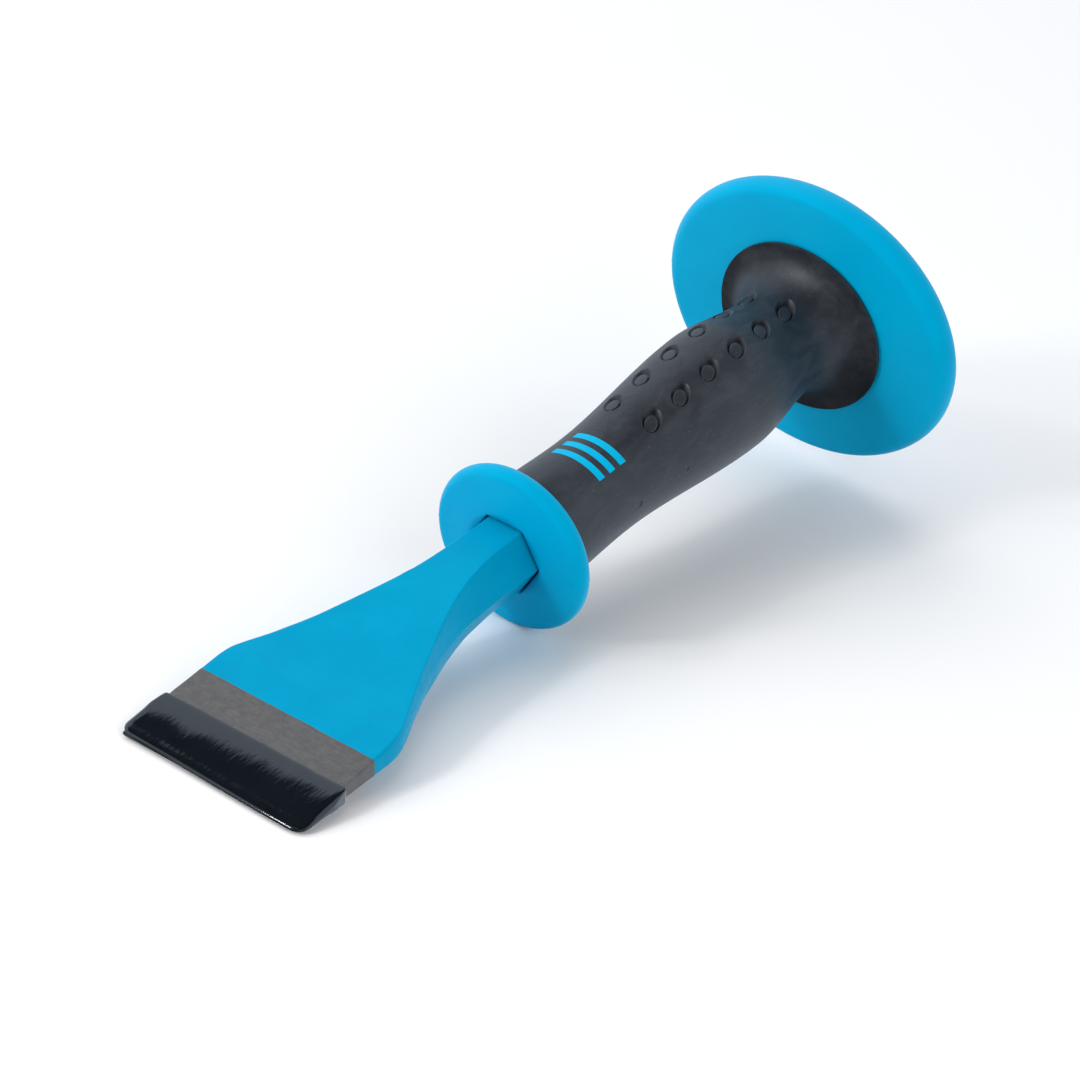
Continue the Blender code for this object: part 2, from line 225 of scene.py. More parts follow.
# ---- material helpers ----
class Graph:
    """Short calls that add and join nodes in one tree."""

    def __init__(self, tree):
        self.tree = tree

    def add(self, kind, inputs=None, **settings):
        node = self.tree.nodes.new(kind)
        for key, value in settings.items():
            setattr(node, key, value)
        for key, value in (inputs or {}).items():
            if isinstance(value, bpy.types.NodeSocket):
                self.tree.links.new(value, node.inputs[key])
            else:
                node.inputs[key].default_value = value
        return node

    def span(self, value, low, high, to_low=0.0, to_high=1.0, smooth=False):
        node = self.add("ShaderNodeMapRange", {
            "Value": value, "From Min": low, "From Max": high, "To Min": to_low,
            "To Max": to_high}, interpolation_type="SMOOTHSTEP" if smooth else "LINEAR")
        return node.outputs["Result"]

    def math(self, operation, a, b=0.0):
        return self.add("ShaderNodeMath", {0: a, 1: b}, operation=operation).outputs[0]

    def part(self, vector, which):
        return self.add("ShaderNodeSeparateXYZ", {0: vector}).outputs[which]

    def dot(self, a, b):
        return self.add("ShaderNodeVectorMath", {0: a, 1: b}, operation="DOT_PRODUCT").outputs["Value"]

    def mix(self, factor, a, b):
        node = self.add("ShaderNodeMix", {"Factor": factor}, data_type="RGBA")
        for socket, value in ((node.inputs[6], a), (node.inputs[7], b)):
            if isinstance(value, bpy.types.NodeSocket):
                self.tree.links.new(value, socket)
            else:
                socket.default_value = (*value, 1.0)
        return node.outputs[2]


class Nodes(Graph):
    """A material under construction, with its pattern laid on the tool's own axes."""

    def __init__(self, name):
        self.material = bpy.data.materials.new(name)
        self.material.use_nodes = True
        super().__init__(self.material.node_tree)
        self.shader = self.tree.nodes["Principled BSDF"]
        place = self.add("ShaderNodeTexCoord").outputs["Object"]
        turn = self.add("ShaderNodeMapping", {"Vector": place}, vector_type="TEXTURE")
        turn.inputs["Location"].default_value = ORIGIN
        turn.inputs["Rotation"].default_value = Matrix((ALONG, ACROSS, UP)).transposed().to_euler()
        self.place = turn.outputs["Vector"]

    def set(self, **values):
        for key, value in values.items():
            self.shader.inputs[key.replace("_", " ")].default_value = value

    def stretch(self, along, across, up):
        return self.add("ShaderNodeVectorMath", {0: self.place, 1: (along, across, up)},
                        operation="MULTIPLY").outputs[0]

    def noise(self, size, detail=3.0, rough=0.5, vector=None, distortion=0.0):
        """Noise with lumps of that size in millimetres."""
        return self.add("ShaderNodeTexNoise", {
            "Vector": vector or self.place, "Scale": 1.0 / (size * MM), "Detail": detail,
            "Roughness": rough, "Distortion": distortion}).outputs["Fac"]

    def spot(self, place, inner, outer):
        """1 within inner millimetres of a place on the tool's axes, 0 beyond outer."""
        here = tuple(v * MM for v in place)
        away = self.add("ShaderNodeVectorMath", {0: self.place, 1: here}, operation="DISTANCE")
        return self.span(away.outputs["Value"], outer * MM, inner * MM)

    def colour(self, value):
        self.tree.links.new(value, self.shader.inputs["Base Color"])

    def rough(self, value):
        self.tree.links.new(value, self.shader.inputs["Roughness"])

    def bump(self, *layers):
        """Layers of (height 0 to 1, depth in millimetres)."""
        normal = None
        for height, depth in layers:
            inputs = {"Height": height, "Distance": depth * MM, "Strength": 1.0}
            if normal is not None:
                inputs["Normal"] = normal
            normal = self.add("ShaderNodeBump", inputs).outputs["Normal"]
        self.tree.links.new(normal, self.shader.inputs["Normal"])


BLUE_SHEEN = (0.0, 0.7, 1.0, 1.0)


def blue_paint():
    m = Nodes("blue_paint")
    m.set(Specular_IOR_Level=0.07, Specular_Tint=BLUE_SHEEN)
    cloud = m.noise(14.0, 3.0, 0.55)
    fine = m.noise(1.1, 4.0, 0.6)
    base = m.mix(m.span(cloud, 0.3, 0.7), (0.0, 0.292, 0.505), (0.0, 0.325, 0.545))
    speck = m.span(m.noise(0.55, 2.0, 0.7), 0.70, 0.76)
    base = m.mix(m.math("MULTIPLY", speck, 0.35), base, (0.0, 0.16, 0.33))
    m.colour(base)
    m.rough(m.span(fine, 0.3, 0.7, 0.42, 0.56))
    m.bump((m.noise(0.9, 2.0, 0.5), 0.02), (cloud, 0.10), (m.noise(3.6, 3.0, 0.6), 0.05))
    return m.material


def ground_steel():
    m = Nodes("ground_steel")
    m.set(Metallic=0.35, IOR=1.8)
    streak = m.noise(0.6, 5.0, 0.65, m.stretch(1.0, 0.16, 1.0))
    blotch = m.noise(2.4, 4.0, 0.65)
    base = m.mix(m.span(streak, 0.3, 0.7), (0.092, 0.089, 0.087), (0.160, 0.155, 0.152))
    base = m.mix(m.span(blotch, 0.40, 0.68, 0.0, 0.6), base, (0.085, 0.082, 0.080))
    grain = m.span(m.noise(0.4, 2.0, 0.6), 0.54, 0.70, 0.0, 0.5)
    base = m.mix(grain, base, (0.20, 0.195, 0.19))
    m.colour(base)
    m.rough(m.span(streak, 0.3, 0.7, 0.52, 0.66))
    m.bump((streak, 0.03), (m.noise(0.45, 3.0, 0.6), 0.03))
    return m.material


def blue_plastic():
    m = Nodes("blue_plastic")
    m.set(Specular_IOR_Level=0.15, Specular_Tint=BLUE_SHEEN)
    cloud = m.noise(22.0, 2.0, 0.5)
    fine = m.noise(0.8, 3.0, 0.6)
    base = m.mix(m.span(cloud, 0.3, 0.7), (0.0, 0.360, 0.620), (0.0, 0.390, 0.655))
    across, up = m.part(m.place, "Y"), m.part(m.place, "Z")
    radial = m.math("SQRT", m.math("ADD", m.math("POWER", across, 2.0), m.math("POWER", up, 2.0)))
    # painted shade: the core is painted darker towards the bore and the shank in it, where shade falls
    # between the parts
    bore_shade = m.span(radial, 0.0125, 0.0098, 0.0, 0.35)
    base = m.mix(bore_shade, base, (0.0, 0.12, 0.22))
    m.colour(base)
    m.rough(m.span(fine, 0.3, 0.7, 0.38, 0.48))
    m.bump((fine, 0.008), (m.noise(9.0, 2.0), 0.05))
    return m.material


def black_rubber():
    m = Nodes("black_rubber")
    m.set(Specular_IOR_Level=0.60, Specular_Tint=(0.90, 0.95, 1.0, 1.0))
    cloud = m.noise(16.0, 4.0, 0.6, distortion=0.6)
    smear = m.noise(5.0, 5.0, 0.65, m.stretch(0.45, 1.0, 1.0), 0.8)
    dust = m.span(m.noise(0.5, 1.0, 0.5), 0.745, 0.775)
    base = m.mix(m.span(cloud, 0.32, 0.72), (0.0125, 0.0145, 0.019), (0.022, 0.025, 0.031))
    base = m.mix(m.span(smear, 0.46, 0.72, 0.0, 0.75), base, (0.042, 0.045, 0.052))
    base = m.mix(m.math("MULTIPLY", dust, 0.5), base, (0.22, 0.23, 0.24))
    vent = m.spot(VENT, 0.55, 0.95)
    mark = m.spot(MARK, 0.3, 0.7)
    # painted shade: the vent pit is painted near black inside, and the mark is darkened the same way
    shaded_pits = m.math("MAXIMUM", vent, m.math("MULTIPLY", mark, 0.6))
    # painted shade: the deeper a point lies in a scoop, the darker its rubber is painted
    scoop_shade = m.add("ShaderNodeAttribute", attribute_name="recess_shade").outputs["Fac"]
    base = m.mix(m.math("MULTIPLY", scoop_shade, 0.95), base, (0.001, 0.001, 0.0015))
    m.colour(m.mix(shaded_pits, base, (0.004, 0.005, 0.006)))
    smooth = m.span(smear, 0.3, 0.75, 0.40, 0.52)
    m.rough(m.math("ADD", smooth, m.math("MULTIPLY", scoop_shade, 0.04)))
    m.bump((m.noise(0.45, 3.0, 0.6), 0.012), (m.noise(4.0, 3.0), 0.03),
           (m.math("SUBTRACT", 1.0, shaded_pits), 0.4))
    return m.material


def dipped_plastic():
    m = Nodes("dipped_plastic")
    m.set(IOR=1.58, Specular_Tint=(0.88, 0.95, 1.0, 1.0), Coat_Weight=0.3, Coat_Roughness=0.04)
    cloud = m.noise(7.0, 3.0, 0.5)
    m.colour(m.mix(m.span(cloud, 0.3, 0.7), (0.0030, 0.0045, 0.0075), (0.0045, 0.0065, 0.0100)))
    m.rough(m.span(m.noise(2.0, 3.0), 0.3, 0.7, 0.03, 0.06))
    m.bump((m.noise(1.0, 2.0, 0.5, m.stretch(0.35, 1.0, 1.0)), 0.012))
    return m.material


def blue_ink():
    m = Nodes("blue_ink")
    m.set(Specular_IOR_Level=0.15, Specular_Tint=BLUE_SHEEN)
    patchy = m.noise(0.7, 4.0, 0.6)
    m.colour(m.mix(m.span(patchy, 0.3, 0.7), (0.0, 0.42, 0.70), (0.0, 0.46, 0.76)))
    m.rough(m.span(patchy, 0.3, 0.7, 0.46, 0.58))
    m.bump((patchy, 0.008))
    return m.material


def plain_floor():
    m = Nodes("floor_paper")
    m.set(Specular_IOR_Level=0.2)
    cloud = m.noise(60.0, 2.0)
    m.colour(m.mix(cloud, (0.945, 0.935, 0.925), (0.955, 0.946, 0.937)))
    m.rough(m.span(cloud, 0.3, 0.7, 0.8, 0.9))
    return m.material


# ---- forging: hexagonal bar, spread and ground blade ----
HEX_CORNER_R = HEX_FLATS / math.sqrt(3.0)


def half_thickness(station):
    if station <= SPREAD_END:
        return mix(HEX_FLATS, ROOT_THICKNESS, smooth_step(DRAW_START, SPREAD_END, station)) / 2
    along = (station - SPREAD_END) / (EDGE_STATION - SPREAD_END)
    return mix(ROOT_THICKNESS, EDGE_THICKNESS, along) / 2


def half_width(station):
    t = max(0.0, (station - SPREAD_START) / (SPREAD_END - SPREAD_START))
    growth = t * t * (1 + 0.6 * t * (1 - t)) if t < 1 else 1 + 1.4 * (t - 1)
    along = max(0.0, (station - SPREAD_END) / (EDGE_STATION - SPREAD_END))
    side = mix(SHOULDER_WIDTH, EDGE_WIDTH, along) / 2
    return soft_min(HEX_CORNER_R + (SHOULDER_WIDTH / 2 - HEX_CORNER_R) * growth, side, 2.2)


def facet_width(station):
    late = mix(FACET_MID, FACET_END, smooth_step(SPREAD_END - 18, SPREAD_END + 12, station))
    return mix(HEX_CORNER_R / 2, late, smooth_step(DRAW_START - 4, DRAW_START + 38, station))


def wall_height(station):
    grown = smooth_step(DRAW_START + 20, SPREAD_END + 12, station)
    return min(mix(CORNER_MIN, SIDE_WALL, grown), half_thickness(station) - CORNER_MIN)


def octagon(flat, thick, wide, wall):
    quarter = [(flat, thick), (wide, wall)]
    right = quarter + [(y, -z) for y, z in reversed(quarter)]
    return np.array(right + [(-y, z) for y, z in reversed(right)])


def blade_corners(station, grow=0.0, facet=0.0):
    thick = half_thickness(station) + grow
    wide = half_width(station) + grow
    flat = wide - max(facet_width(station), facet)
    return octagon(flat, thick, wide, min(wall_height(station) + grow, thick - 0.1))


def bar_corners(flats):
    corner = flats / math.sqrt(3.0)
    return octagon(corner / 2, flats / 2, corner, CORNER_MIN)


FACE_CELLS = (6, 4, 6, 46, 6, 4, 6, 46)
ARC_POINTS = 5


def rounded(corners, radius):
    """Outline with rounded corners; every outline has the same number of points."""
    outline = []
    count = len(corners)
    reach = []
    for i in range(count):
        back, ahead = corners[i - 1] - corners[i], corners[(i + 1) % count] - corners[i]
        sides = np.linalg.norm(back), np.linalg.norm(ahead)
        cosine = np.clip(back @ ahead / (sides[0] * sides[1]), -1, 1)
        wanted = radius / math.tan(max(math.acos(cosine), 0.1) / 2)
        reach.append(min(wanted, 0.46 * sides[0], 0.46 * sides[1]))
    for i in range(count):
        here, after = corners[i], corners[(i + 1) % count]
        back = (corners[i - 1] - here) / np.linalg.norm(corners[i - 1] - here)
        ahead = (after - here) / np.linalg.norm(after - here)
        start, end = here + back * reach[i], here + ahead * reach[i]
        for t in np.linspace(0, 1, ARC_POINTS):
            outline.append((1 - t) ** 2 * start + 2 * t * (1 - t) * here + t * t * end)
        stop = after - ahead * reach[(i + 1) % count]
        for t in np.arange(1, FACE_CELLS[i]) / FACE_CELLS[i]:
            outline.append(mix(end, stop, t))
    return np.array(outline)


def forging():
    stations, outlines = [], []

    def row(station, corners, radius=EDGE_ROUND):
        outline = rounded(corners, radius)
        stations.append(np.full(len(outline), float(station)))
        outlines.append(outline)

    for i in range(5):
        inset = HEAD_CHAMFER * (1 - i / 4)
        row(HEAD_STATION + 0.75 * HEAD_CHAMFER * (i / 4), bar_corners(HEX_FLATS - 2 * inset))
    for station in np.linspace(HEAD_STATION + 3.0, DRAW_START - 14.0, 18):
        row(station, bar_corners(HEX_FLATS))
    for station in np.arange(DRAW_START - 13.0, DRAW_START, 1.0):
        row(station, blade_corners(station))
    for station in np.arange(DRAW_START, PAINT_STATION - 0.5, 0.9):
        row(station, blade_corners(station))
    painted = len(stations)
    for station in (PAINT_STATION, PAINT_STATION + 0.05):
        row(station, blade_corners(station))
    for station in np.linspace(PAINT_STATION + 1.0, EDGE_STATION, 24):
        row(station, blade_corners(station), 0.3)
    grid = np.dstack([np.array(stations), np.array(outlines)])
    # the paint's end wanders a little across the blade
    wander = noise_at(grid[painted] * (0, 1, 1), 7.0, 5.0) * 0.16
    wander += noise_at(grid[painted] * (0, 1, 1), 1.6, 9.0) * 0.05
    grid[painted:painted + 2, :, 0] += wander
    normal = grid_normals(grid)
    where = grid[..., 0]
    coat = np.where(np.arange(len(grid)) <= painted, PAINT_COAT, 0.0)[:, None]
    forged = smooth_step(146.0, 166.0, where) * (1 - smooth_step(208.0, 219.0, where))
    broad = noise_at(grid, 13.0, 3.0).reshape(where.shape)
    small = noise_at(grid, 4.2, 8.0).reshape(where.shape)
    scale = np.maximum(noise_at(grid, 6.0, 21.0).reshape(where.shape) - 0.18, 0)
    lumps = forged * (0.13 * broad + 0.05 * small - 0.22 * scale)
    exposed = where > COLLAR_FACE - 1.0
    grid = grid + normal * (coat * exposed + lumps)[..., None]
    rows, count = where.shape
    faces = ring_faces(rows, count)
    which = [0 if i // count < painted else 1 for i in range(len(faces))]
    faces += [tuple(reversed(range(count))), tuple((rows - 1) * count + c for c in range(count))]
    which += [1, 1]
    return make_piece("chisel_forging", grid.reshape(-1, 3), faces,
                      [blue_paint(), ground_steel()], which, 24.0)


# ---- handle core: collar, hex-bored sleeve and oval guard, one closed skin ----
HALF_CELLS = 126


def seamed_angles(radius):
    """Angles round a turned row, with narrow columns along both parting lines."""
    inner, outer = SEAM_HALF / radius, SEAM_FOOT * SEAM_HALF / radius
    middle = np.linspace(0, math.pi, HALF_CELLS + 1)[1:-1]
    middle = outer + middle / math.pi * (math.pi - 2 * outer)
    half = np.concatenate([[0, inner, outer], middle, [math.pi - outer, math.pi - inner]])
    return np.concatenate([half, half + math.pi])


def hexagon_radius(angles, flats):
    turn = np.mod(angles, math.pi / 3) - math.pi / 6
    sharp = flats / 2 / np.cos(turn)
    return np.minimum(sharp, flats / math.sqrt(3.0) - 0.25)


def arc(station, radius, size, start, end, steps):
    turn = np.radians(np.linspace(start, end, steps + 1))
    return list(zip(station + size * np.sin(turn), radius + size * np.cos(turn)))


def fill(points, spacing):
    """More points along the long straight runs of a profile."""
    filled = []
    for a, b in zip(points, points[1:]):
        steps = max(1, int(math.dist(a, b) / spacing))
        filled += [tuple(mix(np.array(a), np.array(b), i / steps)) for i in range(steps)]
    return filled + [points[-1]]


def core_skin():
    face = GUARD_RIM_R + GUARD_FACE_RISE
    rim = GUARD_HALF_WIDTH - GUARD_RIM_R - RIM_INSET
    collar_rim = COLLAR_R - COLLAR_RIM_R
    collar_back = COLLAR_STATION - COLLAR_RIM_R
    dish = face - GUARD_WALL
    front = [(COLLAR_FACE, COLLAR_LAND_R - 0.4), (COLLAR_FACE - 0.03, COLLAR_LAND_R),
             (COLLAR_FACE - 0.14, COLLAR_LAND_R + 0.7), (COLLAR_FACE - 0.35, COLLAR_LAND_R + 2.2),
             (COLLAR_STATION + COLLAR_RIM_R + 0.02, collar_rim - 0.6)]
    collar = arc(COLLAR_STATION, collar_rim, COLLAR_RIM_R, 80, -80, 22)
    collar += [(collar_back - 0.1, GRIP_END_R + 1.5), (collar_back - 0.2, SLEEVE_R)]
    guard = [(face + 1.5, SLEEVE_R), (face - FIT_GAP, SLEEVE_R + 1.8),
             (face - FIT_GAP, FLARE_R - 0.9), (face - 0.42, FLARE_R + 0.5)]
    guard += arc(0.0, rim, GUARD_RIM_R, 88, -78, 26)
    back = [(-GUARD_RIM_R + 0.5, rim - 1.9), (-GUARD_RIM_R + 1.4, rim - 2.8),
            (dish - 1.6, rim - 3.6), (dish - 1.1, rim - 4.6), (dish - 0.9, rim - 6.0),
            (dish - 0.2, HUB_R + 3.0), (dish - 0.4, HUB_R + 1.9), (dish - 1.0, HUB_R + 1.0),
            (HUB_STATION + 2.2, HUB_R + 0.35), (HUB_STATION + 1.0, HUB_R),
            (HUB_STATION + 0.3, HUB_R - 0.25), (HUB_STATION, HUB_R - 0.9),
            (HUB_STATION, 13.0)]
    outer = fill(front + collar + guard + back, 1.6)
    rows = []
    for station, radius in outer:
        angles = seamed_angles(radius)
        out = np.full(len(angles), radius)
        z = out * np.sin(angles)
        if station < NECK_STATION:
            outwards = np.clip((out - ROUND_WITHIN) / (GUARD_HALF_WIDTH - ROUND_WITHIN), 0, None)
            z = z * mix(1.0, GUARD_HALF_HEIGHT / GUARD_HALF_WIDTH, outwards)
        rows.append(np.column_stack([np.full(len(angles), station), out * np.cos(angles), z]))
    bore = [(HUB_STATION, 0.55), (HUB_STATION + 0.2, 0.18), (HUB_STATION + 0.55, 0.0)]
    bore += [(s, 0.0) for s in np.linspace(2.0, COLLAR_FACE - 4.0, 12)]
    bore += [(COLLAR_FACE - 0.5, 0.0), (COLLAR_FACE - 0.16, 0.14), (COLLAR_FACE, 0.4)]
    for station, widen in bore:
        angles = seamed_angles(BORE_FLATS / 2)
        out = hexagon_radius(angles, BORE_SHOWN if station > COLLAR_STATION else BORE_FLATS) + widen
        rows.append(np.column_stack([np.full(len(angles), station), out * np.cos(angles),
                                     out * np.sin(angles)]))
    rows.append(rows[0])
    return np.array(rows)


def core():
    grid = core_skin()
    normal = grid_normals(grid)
    radius = np.hypot(grid[..., 1], grid[..., 2])
    station = grid[..., 0]
    seam = np.zeros_like(radius)
    seam[:, [0, grid.shape[1] // 2]] = SEAM_RISE
    shown = (radius > FLARE_R + 0.8) | ((station > COLLAR_STATION - 2.0) & (radius > 14.5))
    sag = 0.05 * noise_at(grid, 21.0, 2.0).reshape(radius.shape) * (radius > 14.5)
    grid = grid - normal * (seam * shown + sag)[..., None]
    grid[-1] = grid[0]
    rows, count = radius.shape
    faces = ring_faces(rows, count)
    last = (rows - 1) * count
    faces = [tuple(v - last if v >= last else v for v in f) for f in faces]
    return make_piece("guard_and_collar", grid[:-1].reshape(-1, 3), faces, [blue_plastic()],
                      sharp=38.0)


# ---- grip ----
def grip_radius(station):
    if station < NECK_STATION:
        t = (NECK_STATION - station) / (NECK_STATION - FLARE_STATION - FLARE_LIP)
        return NECK_R + (FLARE_R - NECK_R) * (1 - math.sqrt(max(0.0, 1 - min(1.0, t) ** 2)))
    if station < SWELL_STATION:
        return float(mix(NECK_R, SWELL_R, smooth_step(NECK_STATION, SWELL_STATION, station)))
    if station < WAIST_STATION:
        return float(mix(SWELL_R, WAIST_R, smooth_step(SWELL_STATION, WAIST_STATION, station)))
    return float(mix(WAIST_R, GRIP_END_R, smooth_step(WAIST_STATION, GRIP_END_STATION, station)))


SIDE_CELLS = 24
ZONE_EDGE = PIP_ACROSS + BLOCK_HALF
ZONE_GAP = PIP_ACROSS - BLOCK_HALF


def quarter_angles(radius):
    """Angles from the seam at 0 to the crest at 90 degrees; the last cells hold a scoop."""
    edge = math.acos(ZONE_EDGE / radius)
    inner, outer = SEAM_HALF / radius, SEAM_FOOT * SEAM_HALF / radius
    side = list(np.linspace(outer, edge, SIDE_CELLS + 1))
    across = np.linspace(ZONE_EDGE, ZONE_GAP, BLOCK_CELLS + 1)[1:]
    block = [math.acos(v / radius) for v in across]
    crest = [math.acos(v / radius) for v in (ZONE_GAP / 2, 0.0)]
    return [0.0, inner] + side + block + crest


def pip_drift(station):
    """How far round towards the crest a pip at this station has stepped, in millimetres."""
    return PIP_DRIFT * min(2.0, max(0.0, 2.0 - (station - PIP_FIRST) / PIP_PITCH))


def grip_angles(station, radius):
    first = np.array(quarter_angles(radius))
    half = np.concatenate([first, math.pi - first[-2:0:-1]])
    edge = math.acos(ZONE_EDGE / radius)
    share = np.clip(np.minimum(half, math.pi - half) / edge, 0.0, 1.0)
    half = half + (pip_drift(station) + BLOCK_ROUND) / radius * share
    return np.concatenate([half, half + math.pi])


BLOCK_COLUMN = 2 + SIDE_CELLS      # column where the first scoop's square starts


def slanted(along, around):
    """A place near a pip, on the long and short way of its oval."""
    cos, sin = math.cos(PIP_SLANT), math.sin(PIP_SLANT)
    return around * sin - along * cos, -along * sin - around * cos


def scoop_height(along, around):
    """Height of the surface near a scoop, from its pip's middle, in millimetres."""
    long_way, short_way = slanted(along, around)
    from_bowl = math.hypot((long_way - SCOOP_SHIFT) / SCOOP_LONG, short_way / SCOOP_SHORT)
    from_pip = math.hypot(long_way / PIP_LONG, short_way / PIP_SHORT)
    cut = 1 - (1 - SCOOP_DEPTH / SCOOP_BALL) ** 2
    depth = SCOOP_BALL * math.sqrt(max(1 - cut * from_bowl ** 2, 0.01)) - SCOOP_BALL + SCOOP_DEPTH
    soft = 0.5 * (depth + math.sqrt(depth ** 2 + 0.006))
    soft *= 1 - float(smooth_step(1.06, 1.16, from_bowl))
    top = 0.02 + 0.13 * float(smooth_step(0.88, 1.0, from_pip))
    wall = float(smooth_step(1.035, 0.985, from_pip))
    return -mix(soft, min(soft, top), wall)


def scoop_rings():
    """Ovals from a little outside the bowl to the pip's middle: shift and half lengths."""
    rings = [(SCOOP_SHIFT, SCOOP_LONG * e, SCOOP_SHORT * e)
             for e in (1.16, 1.09, 1.05, 1.02, 1.0, 0.985, 0.965)]
    near = 1.045
    for t in (0.1, 0.22, 0.34, 0.46, 0.58, 0.7, 0.8, 0.88, 0.95, 1.0):
        rings.append((SCOOP_SHIFT * (1 - t), mix(SCOOP_LONG * 0.965, PIP_LONG * near, t),
                      mix(SCOOP_SHORT * 0.965, PIP_SHORT * near, t)))
    return rings + [(0.0, PIP_LONG * e, PIP_SHORT * e)
                    for e in (1.032, 1.02, 1.008, 0.998, 0.985, 0.96, 0.93, 0.88, 0.7, 0.35)]


SCOOP_RINGS = scoop_rings()


def surface_point(station, angle):
    radius = grip_radius(station)
    return np.array([station, radius * math.cos(angle), GRIP_FLATTEN * radius * math.sin(angle)])


def surface_normal(station, angle):
    step, turn = 0.05, 0.003
    along = surface_point(station + step, angle) - surface_point(station - step, angle)
    around = surface_point(station, angle + turn) - surface_point(station, angle - turn)
    normal = np.cross(around, along)
    normal /= np.linalg.norm(normal)
    outwards = normal @ np.array([0, math.cos(angle), math.sin(angle)])
    return -normal if outwards < 0 else normal


def scoop_patch(border, centre_station, centre_angle, first):
    """Rings of points and faces that fill one square of the grip with a scoop and its pip."""
    radius = grip_radius(centre_station)
    count = len(border)
    places = np.array([p for _, p in border])
    long_way, short_way = slanted(places[:, 0] - centre_station, (places[:, 1] - centre_angle) * radius)
    turn = np.arctan2(short_way / SCOOP_SHORT, (long_way - SCOOP_SHIFT) / SCOOP_LONG)
    cos, sin = math.cos(PIP_SLANT), math.sin(PIP_SLANT)
    points, faces, recess_shade = [], [], []
    previous = [index for index, _ in border]
    for shift, half_long, half_short in SCOOP_RINGS:
        ring = []
        for angle in turn:
            far, side = shift + half_long * math.cos(angle), half_short * math.sin(angle)
            along, around = -far * cos - side * sin, far * sin - side * cos
            station, spot = centre_station + along, centre_angle + around / radius
            height = scoop_height(along, around)
            ring.append(first + len(points))
            points.append(surface_point(station, spot) + surface_normal(station, spot) * height)
            # how deep a point lies in its scoop sets the painted shade in the rubber's colour
            recess_shade.append(float(smooth_step(0.15, 0.80, -height)))
        for i in range(count):
            j = (i + 1) % count
            faces.append((previous[i], previous[j], ring[j], ring[i]))
        previous = ring
    middle = first + len(points)
    points.append(surface_point(centre_station, centre_angle)
                  + surface_normal(centre_station, centre_angle) * scoop_height(0.0, 0.0))
    faces += [(previous[i], previous[(i + 1) % count], middle) for i in range(count)]
    return points, faces, recess_shade + [0.0]


def grip_stations():
    """Stations of the grip's outside from the cove to the collar, and where squares start."""
    stations, starts = [], []
    for i in range(PIPS_IN_ROW):
        centre = PIP_FIRST + PIP_PITCH * i - BLOCK_BACK
        starts.append(len(stations))
        stations += list(centre + np.linspace(-BLOCK_HALF, BLOCK_HALF, BLOCK_CELLS + 1))
        gap = PIP_PITCH - 2 * BLOCK_HALF
        stations += [centre + BLOCK_HALF + gap / 3, centre + BLOCK_HALF + gap * 2 / 3]
    stations += list(np.linspace(stations[-1] + 0.9, GRIP_END_STATION - 0.7, 40))
    return stations, starts


def grip():
    face = GUARD_RIM_R + GUARD_FACE_RISE
    cove_end = PIP_FIRST - BLOCK_BACK - BLOCK_HALF
    rows = [(face, FLARE_R - 0.15), (face + 0.04, FLARE_R - 0.03), (FLARE_STATION, FLARE_R),
            (FLARE_STATION + 0.5, FLARE_R), (FLARE_STATION + 0.64, FLARE_R - 0.06)]
    depth = NECK_STATION - FLARE_STATION - FLARE_LIP
    for angle in np.linspace(1.5, 89.0, 44):
        station = NECK_STATION - depth * math.cos(math.radians(angle))
        if station < cove_end - 0.2:
            rows.append((station, grip_radius(station)))
    stations, starts = grip_stations()
    starts = [s + len(rows) for s in starts]
    rows += [(s, grip_radius(s)) for s in stations]
    end = GRIP_END_STATION
    rows += [(end - 0.35, GRIP_END_R - 0.06), (end - 0.12, GRIP_END_R - 0.2)]
    rows += [(end, GRIP_END_R - 0.5)]
    outside = len(rows)
    rows += [(end, GRIP_BORE_R)] + [(s, GRIP_BORE_R) for s in np.linspace(end - 8, face + 6, 6)]
    rows += [(face + 1.7, GRIP_BORE_R), (face, GRIP_BORE_R + 1.9)]
    grid, angle_of = [], []
    for i, (station, radius) in enumerate(rows):
        angles = grip_angles(station, radius)
        flatten = GRIP_FLATTEN if radius > GRIP_BORE_R + 0.5 else 1.0
        grid.append(np.column_stack([np.full(len(angles), station), radius * np.cos(angles),
                                     flatten * radius * np.sin(angles)]))
        angle_of.append(angles)
    grid = np.array(grid)
    normal = grid_normals(grid)
    count = grid.shape[1]
    seam = np.zeros(grid.shape[:2])
    seam[4:outside - 2, [0, count // 2]] = SEAM_RISE
    grid = grid - normal * seam[..., None]
    points = list(grid.reshape(-1, 3))
    recess_shade = [0.0] * len(points)
    skip, faces = set(), []
    quarter = BLOCK_COLUMN
    half = count // 2
    firsts = [quarter, half - quarter - BLOCK_CELLS]
    firsts += [c + half for c in firsts]
    for number, start in enumerate(starts):
        centre = PIP_FIRST + PIP_PITCH * number
        for c0 in firsts:
            skip |= {(start + r, c0 + c) for r in range(BLOCK_CELLS) for c in range(BLOCK_CELLS)}
            n = BLOCK_CELLS
            loop = [(start, c0 + c) for c in range(n)]
            loop += [(start + r, c0 + n) for r in range(n)]
            loop += [(start + n, c0 + n - c) for c in range(n)]
            loop += [(start + n - r, c0) for r in range(n)]
            border = [(r * count + c, (rows[r][0], angle_of[r][c])) for r, c in loop]
            radius = grip_radius(centre)
            across = PIP_ACROSS if c0 % half == quarter else -PIP_ACROSS
            middle = math.acos(across / radius) + pip_drift(centre) / radius
            middle += math.pi * (c0 >= half)
            more, patch, scoop_shade = scoop_patch(border, centre, middle, len(points))
            points += more
            faces += patch
            recess_shade += scoop_shade
    faces = ring_faces(len(rows), count, skip=skip) + faces
    last = len(rows) - 1
    faces += [(last * count + c, last * count + (c + 1) % count, (c + 1) % count, c)
              for c in range(count)]
    return make_piece("rubber_grip", np.array(points), faces, [black_rubber()], sharp=50.0,
                      recess_shade=recess_shade)


